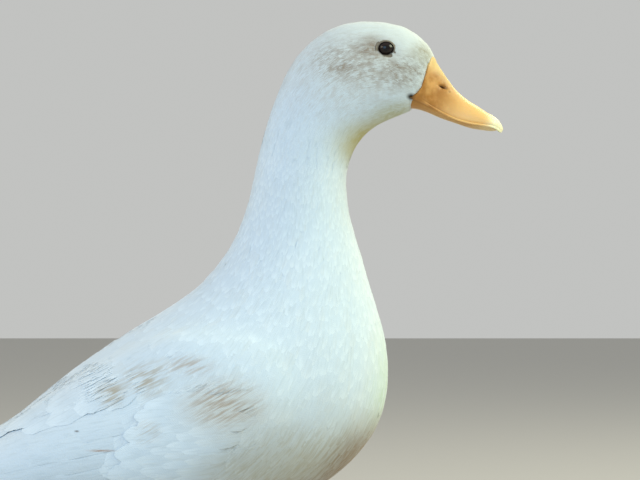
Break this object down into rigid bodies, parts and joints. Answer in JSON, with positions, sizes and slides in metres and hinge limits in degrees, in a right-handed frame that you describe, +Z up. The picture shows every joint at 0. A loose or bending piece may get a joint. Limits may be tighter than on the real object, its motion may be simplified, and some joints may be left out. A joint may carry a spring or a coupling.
{
  "type": "white domestic duck",
  "caption": "Life-size still model of a white domestic duck, standing alert on webbed feet and looking straight ahead.",
  "frame": {"origin": "on the floor, under the middle of the duck's length and on its plane of symmetry", "axes": "+X the way the duck faces, +Y to the duck's left, +Z up"},
  "size_m": [0.4536, 0.1564, 0.39],
  "materials": {
    "plumage": "soft matt white feathers with faint grey and buff soiling",
    "bill": "satin, smooth skin over bone",
    "eye": "wet, mirror-like gloss",
    "leg": "satin, fine scales",
    "claw": "satin horn"
  },
  "bodies": {
    "root": {"head": "plumage", "neck": "plumage", "trunk": "plumage", "tail": "plumage", "wing_left": "plumage", "thigh_left": "plumage", "eye_left": "eye", "shank_left": "leg", "foot_left": "leg", "claw_left_inner": "claw", "claw_left_middle": "claw", "claw_left_outer": "claw", "claw_left_hind": "claw", "wing_right": "plumage", "thigh_right": "plumage", "eye_right": "eye", "shank_right": "leg", "foot_right": "leg", "claw_right_inner": "claw", "claw_right_middle": "claw", "claw_right_outer": "claw", "claw_right_hind": "claw", "bill_upper": "bill", "bill_lower": "bill"}
  },
  "joints": []
}
